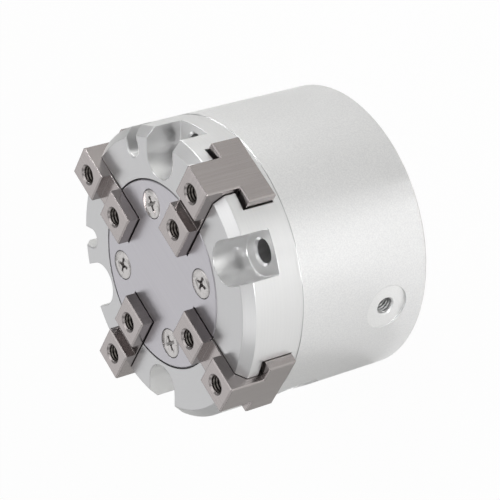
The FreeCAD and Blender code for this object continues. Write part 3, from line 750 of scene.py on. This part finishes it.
@dataclass
class PlateScrews:
    """The four screws that hold the front plate, each with its own turn of the recess.

    recess_turns gives each screw's place round the plate and its recess's turn, both in degrees.
    """

    circle_radius: float = 16.85
    recess_turns: tuple[tuple[float, float], ...] = (
        (45.0, 13.5),
        (135.0, 61.0),
        (225.0, 24.0),
        (315.0, 63.5),
    )
    smooth_deg: float = 35.0

    def build(self) -> None:
        """Make the screws and let them stand for the plain ones."""
        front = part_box("end_plate")[1].z
        one = CrossScrew().mesh()
        build = bmesh.new()
        for angle, turn in self.recess_turns:
            a = math.radians(angle)
            centre = Vector((math.cos(a), math.sin(a), 0.0)) * self.circle_radius * MM
            centre.z = front
            copy = one.copy()
            copy.transform(Matrix.Translation(centre) @ Matrix.Rotation(math.radians(turn), 4, "Z"))
            build.from_mesh(copy)
            bpy.data.meshes.remove(copy)
        material = bpy.data.materials[SCREW_FINISH.name]
        piece = piece_from_mesh("plate_screws", build, material, self.smooth_deg)
        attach(piece, "housing")
        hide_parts("end_plate_screws")
        LOG.info("built %s", piece.name)


class JawSide(Enum):
    """Side of the gripper on which a jaw slides: node name and direction in degrees."""

    X_POS = ("jaw_x_pos", 0.0)
    Y_POS = ("jaw_y_pos", 90.0)
    X_NEG = ("jaw_x_neg", 180.0)
    Y_NEG = ("jaw_y_neg", 270.0)


@dataclass
class Jaw:
    """One T-shaped sliding jaw with two tapped finger holes. Sizes are in millimetres."""

    side: JawSide
    hole_radii: tuple[float, float] = (18.275, 31.475)
    hole_depths: tuple[float, float] = (5.5, 8.0)
    mouth_depth: float = 0.45
    end_spare: float = 0.3

    def build(self, material: bpy.types.Material, thread: bpy.types.Material) -> None:
        """Dress the jaw and put the threads in its holes.

        Args:
            material: Finish of the jaw.
            thread: Finish of the threads, whose dark colour is painted shade.
        """
        node, degrees = self.side.value
        dress(node, material)
        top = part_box(node)[1].z / MM - self.mouth_depth
        a = math.radians(degrees)
        for place, radius, depth in zip(("inner", "outer"), self.hole_radii, self.hole_depths):
            mouth = (radius * math.cos(a), radius * math.sin(a), top)
            length = depth - self.mouth_depth - self.end_spare
            piece = ThreadSleeve(f"{node}_{place}_thread", mouth, (0, 0, 1), length).make(thread)
            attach(piece, f"{node}_slider")
            LOG.info("built %s", piece.name)


@dataclass
class Housing:
    """Barrel with its rear closure and air ports. Sizes are in millimetres."""

    port_angles: tuple[float, float] = (22.5, -22.5)
    port_heights: tuple[float, float] = (11.5, 27.0)
    port_names: tuple[str, str] = ("rear", "front")
    port_face: float = 34.4
    port_chamfer: float = 0.3
    port_depth: float = 5.2

    def build(self) -> None:
        """Dress the housing and cut the threads of its ports."""
        dress("body", BODY_FINISH.make())
        dress("rear_cap", CAP_FINISH.make())
        dress("cap_retaining_ring", RING_FINISH.make())
        dress("rod_seal_retainer", RETAINER_FINISH.make())
        seal = SEAL_FINISH.make()
        for node in ("cap_o_ring", "rod_seal", "piston_seal"):
            dress(node, seal)
        # The ports' threads carry painted shade in their darker colour
        shaded_port_thread = SHADED_PORT_THREAD_FINISH.make()
        for angle, height, name in zip(self.port_angles, self.port_heights, self.port_names):
            a = math.radians(angle)
            outward = (math.cos(a), math.sin(a), 0.0)
            reach = self.port_face - self.port_chamfer
            mouth = (reach * outward[0], reach * outward[1], height)
            sleeve = ThreadSleeve(f"air_port_{name}_thread", mouth, outward, self.port_depth)
            piece = sleeve.make(shaded_port_thread)
            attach(piece, "housing")
            LOG.info("built %s", piece.name)


@dataclass
class DriveGroup:
    """Piston, wedge cam and what moves with them."""

    def build(self) -> None:
        """Dress each piece of the drive."""
        finishes = {
            "cam": CAM_FINISH,
            "cam_bolt": BOLT_FINISH,
            "piston": PISTON_FINISH,
            "magnet_ring": MAGNET_FINISH,
            "wear_ring": GUIDE_FINISH,
        }
        for node, finish in finishes.items():
            dress(node, finish.make())
        bumper = BUMPER_FINISH.make()
        for node in ("front_bumper", "rear_bumper"):
            dress(node, bumper)


# Camera, lamps and floor


@dataclass(frozen=True)
class ViewPoint:
    """Camera at the photograph's place. Sizes are in millimetres."""

    eye: tuple[float, float, float] = (224.15, 401.19, 318.25)
    target: tuple[float, float, float] = (0.42, 0.29, 26.28)
    roll_deg: float = -105.774
    lens_mm: float = 164.016
    sensor_mm: float = 36.0
    clip_start_m: float = 0.01

    def make(self) -> None:
        """Create the camera and make it the scene's own."""
        data = bpy.data.cameras.new("photo_camera")
        data.lens = self.lens_mm
        data.sensor_width = self.sensor_mm
        data.sensor_fit = "HORIZONTAL"
        data.clip_start = self.clip_start_m
        camera = bpy.data.objects.new("photo_camera", data)
        aim = (Vector(self.target) - Vector(self.eye)).to_track_quat("-Z", "Y").to_matrix().to_4x4()
        roll = Matrix.Rotation(math.radians(self.roll_deg), 4, "Z")
        camera.matrix_world = Matrix.Translation(Vector(self.eye) * MM) @ aim @ roll
        bpy.context.scene.collection.objects.link(camera)
        bpy.context.scene.camera = camera


@dataclass(frozen=True)
class SoftLamp:
    """Square soft box that points at the gripper. Azimuth runs from +X towards +Y."""

    name: str
    azimuth_deg: float
    elevation_deg: float
    distance_m: float
    size_m: float
    watts: float
    aim_height_m: float = 0.027

    def make(self) -> None:
        """Create the lamp."""
        data = bpy.data.lights.new(self.name, "AREA")
        data.shape = "SQUARE"
        data.size = self.size_m
        data.energy = self.watts
        lamp = bpy.data.objects.new(self.name, data)
        azimuth, elevation = math.radians(self.azimuth_deg), math.radians(self.elevation_deg)
        flat = math.cos(elevation)
        direction = Vector((flat * math.cos(azimuth), flat * math.sin(azimuth), math.sin(elevation)))
        centre = Vector((0, 0, self.aim_height_m))
        aim = (-direction).to_track_quat("-Z", "Y").to_matrix().to_4x4()
        lamp.matrix_world = Matrix.Translation(centre + direction * self.distance_m) @ aim
        lamp.visible_camera = False
        bpy.context.scene.collection.objects.link(lamp)


@dataclass(frozen=True)
class FloorPanel:
    """Light panel lying on the floor beside the barrel, which mirrors it as a broad bright band.

    One long side of the panel runs along the line that the barrel mirrors at edge_deg, measured from
    +X towards +Y, and the panel lies on the side of it that sweep names: -1 towards smaller angles,
    1 towards larger ones. Sizes are in millimetres.
    """

    name: str
    edge_deg: float
    sweep: int
    watts: float
    back: float = 45.0
    ahead: float = 160.0
    width: float = 160.0
    height: float = 0.5
    barrel_radius: float = 35.0
    view_deg: float = 61.0

    def make(self) -> None:
        """Create the panel."""
        data = bpy.data.lights.new(self.name, "AREA")
        data.shape = "RECTANGLE"
        data.size = (self.back + self.ahead) * MM
        data.size_y = self.width * MM
        data.energy = self.watts
        panel = bpy.data.objects.new(self.name, data)
        foot, run = math.radians(self.edge_deg), math.radians(2 * self.edge_deg - self.view_deg)
        along = Vector((math.cos(run), math.sin(run), 0.0))
        across = Vector((-along.y, along.x, 0.0)) * self.sweep
        corner = Vector((math.cos(foot), math.sin(foot), 0.0)) * self.barrel_radius
        centre = corner + along * (self.ahead - self.back) / 2 + across * self.width / 2
        centre.z = self.height
        face_up = Matrix.Rotation(run, 4, "Z") @ Matrix.Rotation(math.pi, 4, "X")
        panel.matrix_world = Matrix.Translation(centre * MM) @ face_up
        panel.visible_camera = False
        bpy.context.scene.collection.objects.link(panel)


LAMPS = (
    FloorPanel("right_floor_panel", 70.0, -1, 0.0235),
    FloorPanel("narrow_floor_panel", 63.0, -1, 0.0036, width=36.0),
    SoftLamp("low_left_soft_box", 131.0, 6.0, 0.4, 0.12, 0.68),
    SoftLamp("low_rear_left_soft_box", 165.0, 6.0, 0.4, 0.12, 0.45),
    SoftLamp("low_right_soft_box", 41.0, 6.0, 0.4, 0.12, 0.68),
    SoftLamp("top_soft_box", 90.0, 58.0, 1.0, 0.5, 0.72),
    SoftLamp("upper_left_soft_box", 133.0, 53.0, 1.0, 0.45, 0.66),
    SoftLamp("upper_front_soft_box", 210.0, 60.0, 1.0, 0.5, 0.87),
    SoftLamp("upper_right_soft_box", 8.0, 51.0, 1.0, 0.5, 0.38),
    SoftLamp("right_soft_box", 0.0, 30.0, 1.0, 0.5, 0.6),
    SoftLamp("front_soft_box", 243.0, 32.0, 1.0, 0.5, 0.52),
    SoftLamp("rear_soft_box", -60.0, 30.0, 1.0, 0.5, 0.38),
)


@dataclass(frozen=True)
class Studio:
    """Pale floor and even surrounding light."""

    floor_radius_m: float = 4.0
    floor_sides: int = 96
    floor_drop_mm: float = 0.02
    floor_smooth_deg: float = 30.0
    paper_dark: str = "#E7E7E5"
    paper_light: str = "#E9E9E7"
    fibre_mm: float = 3.0
    floor_seen_white: float = 0.96
    floor_mirrored_white: float = 0.0
    world_colour: str = "#FFFFFF"
    world_strength: float = 0.37
    unlit_azimuth_deg: float = 119.0
    unlit_elevation_deg: float = 33.0
    unlit_inner_deg: float = 10.0
    unlit_outer_deg: float = 20.0
    unlit_share: float = 0.1

    def floor_material(self) -> bpy.types.Material:
        """Build the floor's paper: lit matt paper, mostly plain white where the camera sees it.

        Returns:
            The material.
        """
        material = new_material("studio_paper_matt")
        tree = material.node_tree
        fibres = {"Vector": millimetres(tree), "Scale": 1 / self.fibre_mm}
        fibre = add_node(tree, "ShaderNodeTexNoise", fibres).outputs["Fac"]
        colour = tint(tree, fibre, self.paper_dark, self.paper_light)
        paper = add_node(tree, "ShaderNodeBsdfDiffuse", {"Color": colour})
        white = add_node(tree, "ShaderNodeEmission", {"Color": linear("#FFFFFF"), "Strength": 1.0})
        rays = add_node(tree, "ShaderNodeLightPath").outputs
        camera = {0: rays["Is Camera Ray"], 1: self.floor_seen_white}
        seen = add_node(tree, "ShaderNodeMath", camera, operation="MULTIPLY").outputs[0]
        mirrors = {0: rays["Is Glossy Ray"], 1: rays["Is Transmission Ray"]}
        shiny = add_node(tree, "ShaderNodeMath", mirrors, operation="MAXIMUM").outputs[0]
        # The share for mirrors is nothing, because plain white there would wash out the barrel's
        # shading. The metal shows the lit paper and the light panels on it.
        shares = {0: shiny, 1: self.floor_mirrored_white, 2: seen}
        share = add_node(tree, "ShaderNodeMath", shares, operation="MULTIPLY_ADD").outputs[0]
        inputs = {0: share, 1: paper.outputs[0], 2: white.outputs[0]}
        blend = add_node(tree, "ShaderNodeMixShader", inputs)
        add_node(tree, "ShaderNodeOutputMaterial", {"Surface": blend.outputs[0]})
        return material

    def make_floor(self) -> None:
        """Lay the floor under the gripper's rear face."""
        build = bmesh.new()
        bmesh.ops.create_circle(build, cap_ends=True, segments=self.floor_sides, radius=self.floor_radius_m)
        floor = piece_from_mesh("studio_floor", build, self.floor_material(), self.floor_smooth_deg)
        floor.location.z = -self.floor_drop_mm * MM

    def make_world(self) -> None:
        """Light the scene from all round but for one unlit corner, and show plain white behind it."""
        world = bpy.data.worlds.new("studio_world")
        world.use_nodes = True
        tree = world.node_tree
        tree.nodes.clear()
        azimuth, elevation = math.radians(self.unlit_azimuth_deg), math.radians(self.unlit_elevation_deg)
        flat = math.cos(elevation)
        corner = (flat * math.cos(azimuth), flat * math.sin(azimuth), math.sin(elevation))
        towards = add_node(tree, "ShaderNodeTexCoord").outputs["Generated"]
        nearness = add_node(tree, "ShaderNodeVectorMath", {0: towards, 1: corner}, operation="DOT_PRODUCT")
        strength = add_node(
            tree,
            "ShaderNodeMapRange",
            {
                "Value": nearness.outputs["Value"],
                "From Min": math.cos(math.radians(self.unlit_outer_deg)),
                "From Max": math.cos(math.radians(self.unlit_inner_deg)),
                "To Min": self.world_strength,
                "To Max": self.world_strength * self.unlit_share,
            },
        )
        rays = add_node(tree, "ShaderNodeLightPath")
        glow = {"Color": linear(self.world_colour), "Strength": strength.outputs[0]}
        soft = add_node(tree, "ShaderNodeBackground", glow)
        white = add_node(tree, "ShaderNodeBackground", {"Color": linear("#FFFFFF"), "Strength": 1.0})
        inputs = {0: rays.outputs["Is Camera Ray"], 1: soft.outputs[0], 2: white.outputs[0]}
        blend = add_node(tree, "ShaderNodeMixShader", inputs)
        add_node(tree, "ShaderNodeOutputWorld", {"Surface": blend.outputs[0]})
        bpy.context.scene.world = world

    def build(self) -> None:
        """Make the floor, the world and the lamps."""
        self.make_floor()
        self.make_world()
        for lamp in LAMPS:
            lamp.make()
            LOG.info("placed %s", lamp.name)
        bpy.context.scene.view_settings.view_transform = "Standard"


def main() -> None:
    """Build the scene in order."""
    logging.basicConfig(level=logging.INFO, format="%(name)s: %(message)s")
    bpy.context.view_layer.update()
    ViewPoint().make()
    Studio().build()
    Housing().build()
    dress("end_plate", PLATE_FINISH.make())
    SCREW_FINISH.make()
    PlateScrews().build()
    thread = SHADED_THREAD_FINISH.make()
    along_x, along_y = JAW_X_FINISH.make(), JAW_Y_FINISH.make()
    for side in JawSide:
        Jaw(side).build(along_x if side in (JawSide.X_POS, JawSide.X_NEG) else along_y, thread)
    DriveGroup().build()


if __name__ == "__main__":
    main()
